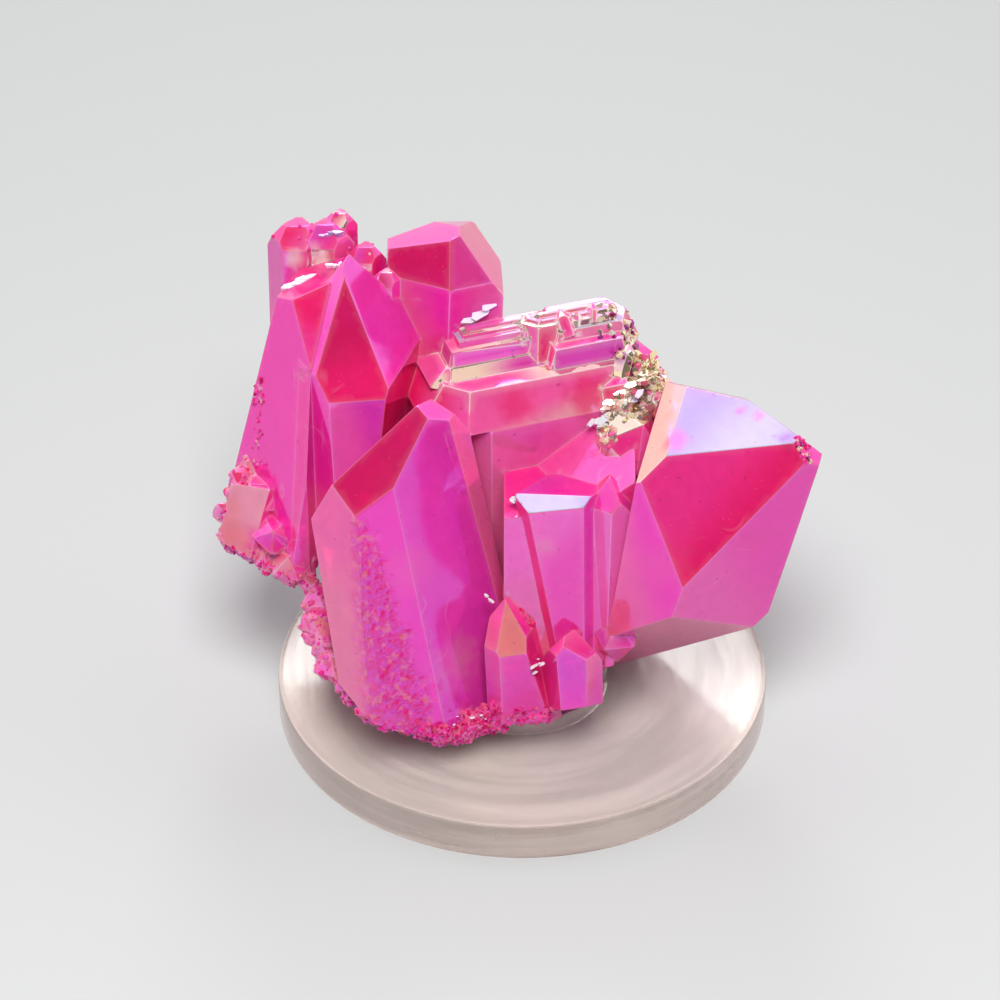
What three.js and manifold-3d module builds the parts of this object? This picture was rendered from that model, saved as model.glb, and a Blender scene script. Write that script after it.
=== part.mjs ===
// A cluster of quartz points with a magenta metal-vapour coating, standing on a clear acrylic display disc.
// Millimetres, +Z up. The disc's underside lies on Z = 0 and its axis is the Z axis. -Y is the front.
import * as THREE from 'three';
import { ConvexGeometry } from 'three/addons/geometries/ConvexGeometry.js';
import { mergeVertices } from 'three/addons/utils/BufferGeometryUtils.js';
import Module from 'manifold-3d';

const wasm = await Module();
wasm.setup();

// ---- driving dimensions -------------------------------------------------------------------------------

const DISC_RADIUS = 30;
const DISC_THICKNESS = 5;
const DISC_EDGE_ROUND = 0.4;
const HUB_RADIUS = 10;
const HUB_HEIGHT = 4;
const HUB_CHAMFER = 0.3;
const HUB_FIT = 0.3;               // air between the hub and the disc's hole, all round
const DISC_CLEARANCE = 0.7;        // the stone hangs this far clear of the disc outside the hub

// Quartz habit. The six prism faces m0..m5 stand 60 degrees apart round a crystal's long axis, and the six
// faces r0..r5 of its point lean over them. A face's slope is the angle between its outward normal and the axis.
const PRISM_SLOPE = 90;
const POINT_SLOPE = 51.8;
const FACE_TURN = 60;

const radians = THREE.MathUtils.degToRad;

// ---- solids -------------------------------------------------------------------------------------------

function toManifold(geometry) {
  const bare = geometry.clone();
  bare.deleteAttribute('normal');
  bare.deleteAttribute('uv');
  const welded = mergeVertices(bare, 1e-4);
  const mesh = new wasm.Mesh({
    numProp: 3,
    vertProperties: Float32Array.from(welded.attributes.position.array),
    triVerts: Uint32Array.from(welded.index.array),
  });
  return new wasm.Manifold(mesh);
}

function toGeometry(solid) {
  const mesh = solid.getMesh();
  const geometry = new THREE.BufferGeometry();
  geometry.setAttribute('position', new THREE.BufferAttribute(mesh.vertProperties, 3));
  geometry.setIndex(new THREE.BufferAttribute(mesh.triVerts, 1));
  const flat = geometry.toNonIndexed();
  flat.computeVertexNormals();
  return flat;
}

// A unit vector from an angle round Z and an angle down from Z.
function direction(turn, slope) {
  const t = radians(turn);
  const s = radians(slope);
  return new THREE.Vector3(Math.sin(s) * Math.cos(t), Math.sin(s) * Math.sin(t), Math.cos(s));
}

// The convex solid inside a set of planes, each with a unit normal and its distance from the origin.
function solidInside(planes) {
  const corners = [];
  for (let i = 0; i < planes.length; i += 1) {
    for (let j = i + 1; j < planes.length; j += 1) {
      for (let k = j + 1; k < planes.length; k += 1) {
        const corner = meetingPoint(planes[i], planes[j], planes[k]);
        if (corner && planes.every((plane) => plane.normal.dot(corner) <= plane.distance + 1e-4)) {
          corners.push(corner);
        }
      }
    }
  }
  return new ConvexGeometry(corners);
}

function meetingPoint(a, b, c) {
  const bc = b.normal.clone().cross(c.normal);
  const volume = a.normal.dot(bc);
  if (Math.abs(volume) < 1e-4) {
    return null;
  }
  const ca = c.normal.clone().cross(a.normal);
  const ab = a.normal.clone().cross(b.normal);
  return bc.multiplyScalar(a.distance).add(ca.multiplyScalar(b.distance)).add(ab.multiplyScalar(c.distance))
    .divideScalar(volume);
}

// ---- one quartz crystal -------------------------------------------------------------------------------
// place: a spot near the tip. lean: degrees from upright. heading: where it leans to, from +X towards +Y.
// spin: its turn about its own axis. prism and point: how far m0..m5 and r0..r5 lie from the place.
// grown: faces that grew out of true, as [degrees round the axis, degrees of slope] to add.
// extra: more faces, as [turn, slope, distance]. length: from the place down to its root.
// broken: flat breaks, as [heading, slope from +Z, distance from the middle of the disc's underside].
function crystal({ place, lean, heading, spin, prism, point, grown = {}, extra = [], length, broken = [] }) {
  const turned = new THREE.Matrix4().makeRotationZ(radians(heading))
    .multiply(new THREE.Matrix4().makeRotationY(radians(lean)))
    .multiply(new THREE.Matrix4().makeRotationZ(radians(spin)));
  const faces = [...extra];
  for (let k = 0; k < 6; k += 1) {
    const [prismTurn, prismSlope] = grown[`m${k}`] ?? [0, 0];
    const [pointTurn, pointSlope] = grown[`r${k}`] ?? [0, 0];
    faces.push([FACE_TURN * k + prismTurn, PRISM_SLOPE + prismSlope, prism[k]]);
    faces.push([FACE_TURN * k + pointTurn, POINT_SLOPE + pointSlope, point[k]]);
  }
  faces.push([0, 180, length]);
  const middle = new THREE.Vector3(...place);
  const planes = faces.map(([turn, slope, distance]) => {
    const normal = direction(turn, slope).transformDirection(turned);
    return { normal, distance: distance + normal.dot(middle) };
  });
  for (const [turn, slope, distance] of broken) {
    planes.push({ normal: direction(turn, slope), distance });
  }
  return toManifold(solidInside(planes));
}

// A plain six-sided crystal of one radius, with slightly uneven faces so that no two stand alike.
const UNEVEN = [1, 0.88, 1.07, 0.94, 1.1, 0.9];

function plainCrystal({ place, lean, heading, spin = 0, radius, length, blunt = 0 }) {
  const prism = UNEVEN.map((part) => part * radius);
  const point = UNEVEN.map((part) => (1 - part) * 0.8 * radius);
  return crystal({ place, lean, heading, spin, prism, point, length, extra: [[0, 0, -blunt]] });
}

// A lump of massive quartz: a faceted ball stretched to size and turned to a heading.
function lump({ middle, size, heading = 0, lean = 0 }) {
  const geometry = new THREE.IcosahedronGeometry(1, 0);
  geometry.scale(...size);
  geometry.rotateY(radians(lean));
  geometry.rotateZ(radians(heading));
  geometry.translate(...middle);
  return toManifold(geometry);
}

// ---- the crystals -------------------------------------------------------------------------------------

// The tall left crystal, and the parallel growth on its left flank.
const leftTower = {
  place: [-21, 10.8, 55.1], lean: 4.5, heading: 97, spin: 185.5,
  prism: [10.5, 8.6, 9, 8, 3, 9.1],
  point: [2.8, 1.5, 2.5, 2.8, 1.5, 2.2],
  grown: { m0: [-1, -2], m1: [0, 5.5], r0: [1, 3], r1: [-1.5, 6], r5: [1, -1.5] },
  length: 34,
};
const leftTowerFlank = {
  ...leftTower,
  prism: [10.5, -1, 5, 9, 6.6, 7.1],
  point: [1.8, 0, 4, 4, 9, 9],
  grown: { m4: [0, -14.5], m5: [-8, -9.5], r0: [-1, -0.5] },
  extra: [[235, 20, 0.8]],
  broken: [[-133, 143, -3.4]],
};

// The big front crystal with the long clean face.
const frontTower = {
  place: [-11, -1.9, 44.7], lean: 18.6, heading: 125.4, spin: 153.6,
  prism: [5.9, 2.3, 5.2, 10, 13, 13.1],
  point: [2.8, 1.1, 1.5, 5, 7, 9],
  grown: { m0: [12, 2], m1: [-24, 1.5], m2: [0, -1], m5: [8, -5.5], r0: [-6, 1], r1: [1, -4.5] },
  extra: [[62, 89, 2.4], [225, 46, 1]],
  length: 46,
  broken: [[-176, 147, -0.5], [-165, 154.5, -1.8], [-72, 159, -2.4]],
};

// The blunt crystal at the top.
const topTower = {
  place: [-9.1, 21.9, 53.3], lean: 11.1, heading: 77.7, spin: 224.1,
  prism: [9, 6.8, 7, 8, 7.2, 8.8],
  point: [5.6, 2.7, 2, 2.6, 2.2, 5.5],
  grown: { r4: [0.5, -35.5], r2: [20, -35.5] },
  length: 36,
};

// The big right-hand crystal, its point leaning out to the front and right.
const rightTower = {
  place: [33.6, -6.5, 41.9], lean: 53.4, heading: 331.1, spin: 262,
  prism: [14.7, 15.9, 15.4, 8, 12, 12.8],
  point: [3.4, 2, 1.1, 1.5, 4.6, 3.9],
  grown: { m0: [-2.5, 1], m2: [0, 4], r0: [1, 1.5], r1: [1.5, 1.5], r4: [-1.5, 13] },
  extra: [[0, 0, 1.2], [216, 49.5, 0.8]],
  length: 44,
  broken: [[167, 83, -9.9]],
};

// The upright crystal in the middle of the front.
const middlePoint = {
  place: [6.1, -3.9, 33.7], lean: 12.9, heading: 92.9, spin: 177.6,
  prism: [5.1, 3.7, 4, 4, 4.6, 7.2],
  point: [9, 9, 9, 9, 9, 9],
  grown: { m1: [-5, 0], m4: [0, 5], m5: [0, 9] },
  extra: [[0, -3.6, 1.6]],
  length: 20,
  broken: [[-107, 17.4, 36.01]],
};

const middleRightPoint = {
  place: [10, -3.9, 35.3], lean: 10.9, heading: 88.2, spin: 204.3,
  prism: [4.5, 3.2, 3, 3, 1.7, 3.6],
  point: [3.4, 1.5, 1, 1, 1, 2],
  grown: { m0: [0, 2], m1: [0, 4.5], m5: [1, 1], r0: [-1, -3] },
  length: 22,
};

const lowerLeftPoint = {
  place: [-1.9, -9.4, 22], lean: 11, heading: 99.7, spin: 183.9,
  prism: [5.9, 2.8, 4, 4, 1.5, 5.1],
  point: [2.2, 1.2, 1, 0.8, 0.8, 1.9],
  grown: { m1: [-1, -12.5], m0: [0, 2], m5: [0, 2] },
  length: 20,
  broken: [[-90, 150, -0.1]],
};

const lowerRightPoint = {
  place: [6.1, -12.3, 19], lean: 11, heading: 84.3, spin: 180.9,
  prism: [5.5, 2.8, 3, 3, 3, 3.9],
  point: [5.1, 1.6, 0.8, 0.5, 0.8, 3],
  grown: { m0: [3.5, 1], m1: [0, -4.5], m5: [0, 4], r0: [-3, 2], r5: [0, -2] },
  length: 16,
  broken: [[-80, 145, 0.1], [-65, 75, 21.4]],
};

// The row of small blunt crystals at the top left, side by side with one axis.
const PEAKS = [
  { place: [-27, 20.8, 58.5], radius: 3.3, length: 26, blunt: 1.8 },
  { place: [-23.6, 19.9, 58.7], radius: 3, length: 26, blunt: 1.4 },
  { place: [-21.9, 21, 59], radius: 1.9, length: 24, blunt: 1 },
  { place: [-18.8, 18.7, 56], radius: 2.2, length: 22, blunt: 1.2 },
  { place: [-16.3, 15.3, 54.2], radius: 1.9, length: 20, blunt: 0.9 },
].map((peak) => ({ ...peak, lean: 10, heading: 92, spin: 174 }));

// The terraced crystal at the back. Each terrace is a plate with six sides that all have one slope. reach is
// how far the sides' top edges lie from the middle, from the front side round to the left front one.
// A terrace with steps carries thin ledges of its own, each smaller than the one below.
const TERRACE_MIDDLE = [3.5, 13.5];
const TERRACE_SIDES = [-71.5, -11.5, 48.5, 108.5, -162, -115];
const TERRACES = [
  { top: 39.7, bottom: 8, slope: 90, reach: [9.5, 11, 10, 9, 15.4, 14.3] },
  { top: 43.7, bottom: 39.7, slope: 51.8, reach: [6.3, 9, 8, 6, 14.9, 13.1] },
  { top: 44.7, bottom: 43, slope: 35, reach: [2.4, -1, 8, 5, 13.9, 11] },
  { top: 46.6, bottom: 44, slope: 78, reach: [1.9, -2, 8, 3.5, 13.2, 10.3] },
  { top: 47.3, bottom: 44, slope: 76, reach: [1.1, -2, 8, 2.5, 12, 9.5], steps: 5 },
  { top: 46, bottom: 43, slope: 70, reach: [4.4, 8.6, 8, 4, 1, 4] },
  { top: 47.2, bottom: 43, slope: 70, reach: [2.6, 8.2, 8, 3, 0, 3] },
  { top: 47.9, bottom: 43, slope: 68, reach: [1.9, 7, 7, 1.2, 4, 3], steps: 3 },
];
const LEDGE_RISE = 0.4;            // from one step of a terrace to the next
const LEDGE_TREAD = 0.7;

function terrace({ top, bottom, slope, reach, steps = 1 }) {
  return Array.from({ length: steps }, (_, step) => {
    const height = top + step * LEDGE_RISE;
    const faces = TERRACE_SIDES.map((turn, k) => {
      return [turn, slope, (reach[k] - step * LEDGE_TREAD) * Math.sin(radians(slope))];
    });
    return { middle: [...TERRACE_MIDDLE, height], faces: [...faces, [0, 0, 0], [0, 180, height - bottom]] };
  });
}

// Massive quartz between the crystals. Each face is [heading, slope from +Z, distance from the middle].
const MASSES = [
  // the bright ramp from the terraces down to the middle points
  {
    middle: [6.2, -2.2, 34.3],
    faces: [
      [-149, 33.5, 0], [-80, 88, 4.5], [0, 90, 7], [90, 90, 16], [180, 90, 8.5], [0, 0, 5.5], [0, 180, 20],
    ],
  },
  // the wall that the middle points stand out from
  {
    middle: [4, -2.2, 27],
    faces: [[-89.5, 77, 6.6], [0, 90, 6], [90, 90, 9], [180, 90, 6.3], [0, 0, 6.5], [0, 180, 12]],
  },
  // the pale plate at the lower left
  {
    middle: [-33, 1.2, 26.8],
    faces: [[-120, 55, 0.9], [60, 125, 2.5], [-38, 84, 2.3], [148, 96, 2.8], [-135, 140, 4], [75, 38, 3.9]],
  },
];

function block({ middle, faces }) {
  const planes = faces.map(([turn, slope, distance]) => ({ normal: direction(turn, slope), distance }));
  const geometry = solidInside(planes);
  geometry.translate(...middle);
  return toManifold(geometry);
}

// Everything of the stone but its root stays above this height, clear of the disc.
function clearOfDisc() {
  const reach = 100;
  const geometry = new THREE.BoxGeometry(reach, reach, reach);
  geometry.translate(0, 0, DISC_THICKNESS + DISC_CLEARANCE + reach / 2);
  return toManifold(geometry);
}

// The root that stands on the hub, from a small foot out to the width of the stone.
function root() {
  const rings = [
    { z: HUB_HEIGHT, radius: 8.9 }, { z: HUB_HEIGHT + 1.6, radius: 9.4 }, { z: 12, radius: 13 },
  ];
  const corners = rings.flatMap(({ z, radius }) => Array.from({ length: 9 }, (_, k) => {
    const turn = (k + 0.3 * Math.sin(5 * k)) * 2 * Math.PI / 9;
    return new THREE.Vector3(radius * Math.cos(turn), radius * Math.sin(turn), z);
  }));
  return toManifold(new ConvexGeometry(corners));
}

const BACK_CRYSTALS = [
  { place: [-20, 27, 43], lean: 22, heading: 125, radius: 7, length: 34 },
  { place: [2, 29, 35], lean: 24, heading: 95, spin: 20, radius: 7.5, length: 30 },
  { place: [14, 22, 32], lean: 38, heading: 50, spin: 10, radius: 7, length: 28 },
  { place: [22, 12, 25], lean: 62, heading: 25, spin: 25, radius: 6, length: 26 },
  { place: [-26, 20, 22], lean: 64, heading: 150, spin: 5, radius: 6, length: 26 },
  { place: [-6, 30, 21], lean: 62, heading: 100, spin: 12, radius: 6.5, length: 28 },
];

const LUMPS = [
  // under the sparkling crust at the right of the terraces
  { middle: [11.5, 9.5, 37], size: [6, 6, 7], heading: 20 },
  { middle: [12.5, 2.5, 36], size: [4.5, 5, 6], heading: 40 },
  // the pale crust at the lower left
  { middle: [-31, 4.5, 28], size: [3.4, 4.4, 3], heading: 30, lean: 20 },
  { middle: [-32.6, 3.2, 25.2], size: [2.8, 3.4, 1.9], heading: 10, lean: -10 },
  { middle: [-34, 2, 23], size: [3, 3.4, 1.7], heading: 50, lean: 12 },
  { middle: [-29.6, -0.2, 25.4], size: [3, 3.2, 2.4], heading: -35, lean: 25 },
  { middle: [-27.4, -1.6, 22.2], size: [3.2, 3.6, 2.8], heading: -20 },
  { middle: [-31.6, 7.6, 29.4], size: [3.6, 3.4, 2.8], heading: 70, lean: -20 },
  { middle: [-27, 4, 22.5], size: [5, 6, 4.5], heading: 15 },
  // the rough break under the front crystal
  { middle: [-22.6, -8.6, 18], size: [4.2, 4.8, 3.4], heading: 20, lean: 15 },
  { middle: [-21.4, -11.6, 15.6], size: [3.8, 4.4, 2.8], heading: -30, lean: -10 },
  { middle: [-19.6, -13.8, 14.4], size: [3.8, 3, 2.6], heading: 40, lean: 20 },
  { middle: [-23, -5.6, 19.4], size: [3.6, 4, 2.6], heading: 75 },
  // the dark rubble between the two lower points
  { middle: [0.9, -10.4, 11.6], size: [4, 3.4, 5], heading: 15 },
  { middle: [4.2, -11.6, 12.6], size: [3.6, 3, 4.6], heading: -25, lean: 10 },
  // where the right-hand crystal meets the lower points
  { middle: [11, -9.6, 17.6], size: [3.4, 3.2, 3.4], heading: 10 },
  // the heart of the stone
  { middle: [-4, 10, 20], size: [15, 9, 12] },
];

// Even but unrepeating steps, which set the places, sizes and turns along a crust.
const GOLDEN = [0.618034, 0.754878, 0.569840, 0.819173, 0.671044, 0.549700];

// The pieces of a crust: count spots spread about a line, each with six even numbers between -1 and 1.
function along({ from, to, count, spread }) {
  const start = new THREE.Vector3(...from);
  const end = new THREE.Vector3(...to);
  return Array.from({ length: count }, (_, i) => {
    const steps = GOLDEN.map((step) => 2 * (((i + 1) * step) % 1) - 1);
    const aside = new THREE.Vector3(...steps).multiplyScalar(spread);
    return { place: start.clone().lerp(end, (i + 0.5) / count).add(aside).toArray(), steps };
  });
}

// Crusts of small crystals.
const DRUSES = [
  // at the right of the terraces
  { from: [11, 14, 45.2], to: [17.2, 8, 42.6], count: 18, spread: 1.3, radius: 0.95, lean: 30, heading: 40 },
  { from: [16.5, 6, 43.6], to: [10.5, 2, 39.8], count: 12, spread: 1.2, radius: 0.9, lean: 25, heading: 300 },
  // along the ragged top of the terraces
  { from: [-4.4, 11.8, 47.6], to: [9.4, 15, 48.8], count: 10, spread: 0.6, radius: 0.8, lean: 30, heading: 90 },
  // in the dark cleft above the two lower points
  { from: [1.5, -10, 21], to: [2.5, -11, 12], count: 8, spread: 1.2, radius: 1.1, lean: 60, heading: 270 },
];
const DRUSE_LENGTH = 4;            // of each small crystal, in radii

function druse(crust) {
  const { radius, lean, heading } = crust;
  return along(crust).map(({ place, steps: [turn, , , size, tilt, swing] }) => {
    const own = radius * (1 + 0.35 * size);
    return {
      place, lean: lean + 25 * tilt, heading: heading + 40 * swing, spin: 60 * turn,
      radius: own, length: own * DRUSE_LENGTH,
    };
  });
}

// Rubble: crusts of small broken lumps.
const RUBBLES = [
  // round the pale crust at the lower left
  { from: [-34, 5.5, 30], to: [-35.5, 2, 24], count: 6, spread: 0.8, size: 1.6 },
  { from: [-34, 0.5, 23.6], to: [-26, -3, 20.6], count: 8, spread: 0.7, size: 1.6 },
  // down the rough left edge of the front crystal and along its broken foot
  { from: [-25.5, -9, 19], to: [-19.5, -16, 13], count: 10, spread: 0.8, size: 1.7 },
  { from: [-19, -18.6, 13.4], to: [-8.9, -18.2, 9], count: 12, spread: 0.6, size: 1.5 },
  { from: [-8.5, -17.4, 8.6], to: [-3, -15, 9.4], count: 9, spread: 0.7, size: 1.5 },
];

function rubble(crust) {
  return along(crust).map(({ place, steps: [wide, deep, high, , tilt, swing] }) => {
    const size = [wide, deep, high].map((step) => crust.size * (1 + 0.4 * step));
    return { middle: place, size, heading: 180 * swing, lean: 40 * tilt };
  });
}

const CRYSTALS = [
  leftTower, leftTowerFlank, frontTower, topTower, rightTower,
  middlePoint, middleRightPoint, lowerLeftPoint, lowerRightPoint,
];

// ---- the cluster --------------------------------------------------------------------------------------

function quartzCluster() {
  const solids = [
    ...CRYSTALS.map(crystal),
    ...[...TERRACES.flatMap(terrace), ...MASSES].map(block),
    ...[...LUMPS, ...RUBBLES.flatMap(rubble)].map(lump),
    ...[...PEAKS, ...BACK_CRYSTALS, ...DRUSES.flatMap(druse)].map(plainCrystal),
  ];
  const cluster = solids.reduce((whole, solid) => whole.add(solid));
  return withoutPockets(cluster.intersect(clearOfDisc()).add(root()));
}

// Pockets shut in between the crystals are filled: only the outer shells, which hold a volume, are kept.
function withoutPockets(solid) {
  const shells = solid.decompose().filter((shell) => shell.volume() > 0);
  return shells.reduce((whole, shell) => whole.add(shell));
}

function finish(name, geometry, colour, roughness, metalness) {
  const material = new THREE.MeshStandardMaterial({ color: colour, roughness, metalness });
  const mesh = new THREE.Mesh(geometry, material);
  mesh.name = name;
  return mesh;
}

function displayDisc() {
  const hole = HUB_RADIUS + HUB_FIT;
  const profile = [
    [hole, 0], [DISC_RADIUS - DISC_EDGE_ROUND, 0], [DISC_RADIUS, DISC_EDGE_ROUND],
    [DISC_RADIUS, DISC_THICKNESS - DISC_EDGE_ROUND], [DISC_RADIUS - DISC_EDGE_ROUND, DISC_THICKNESS],
    [hole, DISC_THICKNESS], [hole, 0],
  ].map(([r, z]) => new THREE.Vector2(r, z));
  return new THREE.LatheGeometry(profile, 96).rotateX(Math.PI / 2);
}

function metalHub() {
  const profile = [
    [0, 0], [HUB_RADIUS - HUB_CHAMFER, 0], [HUB_RADIUS, HUB_CHAMFER],
    [HUB_RADIUS, HUB_HEIGHT - HUB_CHAMFER], [HUB_RADIUS - HUB_CHAMFER, HUB_HEIGHT], [0, HUB_HEIGHT],
  ].map(([r, z]) => new THREE.Vector2(r, z));
  return new THREE.LatheGeometry(profile, 72).rotateX(Math.PI / 2);
}

const part = new THREE.Group();
part.add(finish('quartz_cluster', toGeometry(quartzCluster()), '#d6389c', 0.12, 0));
part.add(finish('display_disc', displayDisc(), '#e6ded6', 0.35, 0));
part.add(finish('metal_hub', metalHub(), '#b9bcc0', 0.2, 1));

export default part;
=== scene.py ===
import math

import bmesh
import bpy
import numpy as np
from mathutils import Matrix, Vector, noise
from mathutils.bvhtree import BVHTree
from mathutils.geometry import delaunay_2d_cdt


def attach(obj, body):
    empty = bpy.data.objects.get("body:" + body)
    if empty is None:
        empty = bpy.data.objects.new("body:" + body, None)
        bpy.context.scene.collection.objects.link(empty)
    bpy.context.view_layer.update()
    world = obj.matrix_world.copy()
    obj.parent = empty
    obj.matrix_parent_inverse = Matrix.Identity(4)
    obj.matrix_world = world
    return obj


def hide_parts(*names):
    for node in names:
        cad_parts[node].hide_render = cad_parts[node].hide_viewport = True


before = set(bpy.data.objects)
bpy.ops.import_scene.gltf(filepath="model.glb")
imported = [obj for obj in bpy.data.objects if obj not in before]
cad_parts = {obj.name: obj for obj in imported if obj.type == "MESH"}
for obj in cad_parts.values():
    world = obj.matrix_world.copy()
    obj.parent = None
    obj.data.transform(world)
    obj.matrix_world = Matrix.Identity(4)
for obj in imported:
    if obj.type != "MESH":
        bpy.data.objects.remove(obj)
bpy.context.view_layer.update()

MM = 0.001

# ---- camera, light and floor --------------------------------------------------------------------------

VIEW_HEIGHT = 36.6                     # degrees that the camera looks down
VIEW_DISTANCE = 480 * MM
VIEW_MIDDLE = Vector((-2.72, 0, 30.5)) * MM
LENS = 144.7                           # millimetres, on a 36 mm sensor

# The room is dark round a spot at the front: that spot's height in degrees, how many degrees from it the dark
# begins to lighten and where it ends, and how bright it is beside the rest of the room.
DARK_HEIGHT = 50
DARK_RADIUS = (46, 66)
DARK_LEVEL = 0.08
ROOM_GREY = (1.0, 1.0, 1.01)

# Each lamp: its name, heading and height in degrees, distance and size in metres, power in watts, and whether
# the faces mirror it. The last one only lights them softly.
LAMPS = [
    ("overhead", 112, 68, 0.6, 0.16, 0.10, True),
    ("ledge light", 90, VIEW_HEIGHT, 0.5, 0.14, 0.5, True),
    ("front fill", -90, 60, 0.7, 0.3, 7.4, False),
]

FLOOR_RADIUS = 1.6
FLOOR_HEIGHT = -0.02 * MM              # just under the disc
FLOOR_GREY = (0.43, 0.435, 0.435)
FLOOR_SPECKS = (0.42, 0.43, 0.45)


def towards(heading, height):
    """The way to a heading, from +X towards +Y, and a height, both in degrees."""
    turn, rise = math.radians(heading), math.radians(height)
    return Vector((math.cos(rise) * math.cos(turn), math.cos(rise) * math.sin(turn), math.sin(rise)))


def make_camera():
    data = bpy.data.cameras.new("camera")
    data.lens = LENS
    data.clip_start = 0.01
    camera = bpy.data.objects.new("camera", data)
    camera.location = VIEW_MIDDLE + VIEW_DISTANCE * towards(-90, VIEW_HEIGHT)
    camera.rotation_euler = (math.radians(90 - VIEW_HEIGHT), 0, 0)
    bpy.context.scene.collection.objects.link(camera)
    bpy.context.scene.camera = camera


def make_world():
    """An even pale room that is dark at the front."""
    world = bpy.data.worlds.new("room")
    bpy.context.scene.world = world
    world.use_nodes = True
    tree = world.node_tree
    nodes, links = tree.nodes, tree.links
    coordinates = nodes.new("ShaderNodeTexCoord")
    dot = nodes.new("ShaderNodeVectorMath")
    dot.operation = "DOT_PRODUCT"
    dot.inputs[1].default_value = towards(-90, DARK_HEIGHT)
    links.new(coordinates.outputs["Generated"], dot.inputs[0])
    ramp = nodes.new("ShaderNodeMapRange")
    ramp.interpolation_type = "SMOOTHSTEP"
    ramp.inputs["From Min"].default_value = math.cos(math.radians(DARK_RADIUS[1]))
    ramp.inputs["From Max"].default_value = math.cos(math.radians(DARK_RADIUS[0]))
    ramp.inputs["To Min"].default_value = 1
    ramp.inputs["To Max"].default_value = DARK_LEVEL
    links.new(dot.outputs["Value"], ramp.inputs["Value"])
    background = nodes["Background"]
    background.inputs["Color"].default_value = (*ROOM_GREY, 1)
    links.new(ramp.outputs["Result"], background.inputs["Strength"])


def area_light(name, heading, height, distance, size, power, mirrored):
    """A square lamp that faces the stone."""
    data = bpy.data.lights.new(name, "AREA")
    data.size = size
    data.energy = power
    light = bpy.data.objects.new(name, data)
    light.location = VIEW_MIDDLE + distance * towards(heading, height)
    light.rotation_euler = towards(heading, height).to_track_quat("Z", "Y").to_euler()
    light.visible_glossy = mirrored
    light.visible_transmission = mirrored
    bpy.context.scene.collection.objects.link(light)


def make_floor():
    bm = bmesh.new()
    bmesh.ops.create_circle(bm, cap_ends=True, segments=96, radius=FLOOR_RADIUS)
    bmesh.ops.translate(bm, verts=bm.verts, vec=(0, 0, FLOOR_HEIGHT))
    mesh = bpy.data.meshes.new("floor")
    bm.to_mesh(mesh)
    bm.free()
    floor = in_scene("floor", mesh)
    floor.data.materials.append(floor_material())


# ---- meshes -------------------------------------------------------------------------------------------

def in_scene(name, mesh):
    """A new object in the scene that shows the mesh."""
    made = bpy.data.objects.new(name, mesh)
    bpy.context.scene.collection.objects.link(made)
    return made


def mesh_object(name, points, faces):
    mesh = bpy.data.meshes.new(name)
    mesh.from_pydata(np.asarray(points).tolist(), [], np.asarray(faces).tolist())
    return in_scene(name, mesh)


def metres(place):
    """A place given in millimetres."""
    return Vector(place) * MM


def distance_to_line(places, line):
    """How far each place is from the stretch between two places given in millimetres."""
    start, end = (np.array(metres(p)) for p in line)
    way = end - start
    t = np.clip((places - start) @ way / (way @ way), 0, 1)
    return np.linalg.norm(places - start - t[:, None] * way, axis=1)


EDGE_STEP = 0.8 * MM          # between points along a crystal's edge
FACE_STEP = 0.8 * MM          # between points on a face
EDGE_ROUND = 0.12 * MM        # from an edge to where its rounding ends
EDGE_DRAWN = 0.4              # how much of that an edge is drawn into the crystal
SHORT_EDGE = 0.3              # an edge shorter than this many steps has no points just inside it
FLAT_ANGLE = 0.6              # degrees between triangles that belong to one flat face
HEX = 0.866                   # height of a row of points set in even triangles


def even_noise(point, scale, depth=1):
    """Smooth noise from about -1 to 1, with features of about the given size."""
    spot = point / scale
    return noise.fractal(spot, 1.0, 2.0, depth, noise_basis="PERLIN_ORIGINAL")


def flat_faces(node):
    """The node's mesh with its triangles joined back into flat many-sided faces."""
    bm = bmesh.new()
    bm.from_mesh(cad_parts[node].data)
    bmesh.ops.remove_doubles(bm, verts=bm.verts, dist=1e-6)
    bmesh.ops.dissolve_limit(bm, angle_limit=math.radians(FLAT_ANGLE), verts=bm.verts, edges=bm.edges)
    return bm


def cut_edges(bm, step):
    """Puts new points along every edge longer than the step."""
    by_cuts = {}
    for edge in bm.edges:
        cuts = round(edge.calc_length() / step) - 1
        if cuts > 0:
            by_cuts.setdefault(cuts, []).append(edge)
    for cuts, edges in by_cuts.items():
        bmesh.ops.bisect_edges(bm, edges=edges, cuts=cuts)


def plane_axes(normal):
    """Two directions at right angles that lie in the plane with this normal."""
    side = normal.cross(Vector((0, 0, 1)) if abs(normal.z) < 0.9 else Vector((1, 0, 0))).normalized()
    return side, normal.cross(side)


def inside(point, outline):
    """Whether a point lies in a closed outline, and how far it is from the outline."""
    x, y = point
    x0, y0 = outline[:, 0], outline[:, 1]
    x1, y1 = np.roll(x0, -1), np.roll(y0, -1)
    crosses = (y0 > y) != (y1 > y)
    with np.errstate(divide="ignore", invalid="ignore"):
        at = x0 + (y - y0) * (x1 - x0) / (y1 - y0)
    odd = np.count_nonzero(crosses & (x < at)) % 2 == 1
    dx, dy = x1 - x0, y1 - y0
    long = np.maximum(dx * dx + dy * dy, 1e-18)
    t = np.clip(((x - x0) * dx + (y - y0) * dy) / long, 0, 1)
    away = np.min(np.hypot(x0 + t * dx - x, y0 + t * dy - y))
    return odd, away


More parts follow.
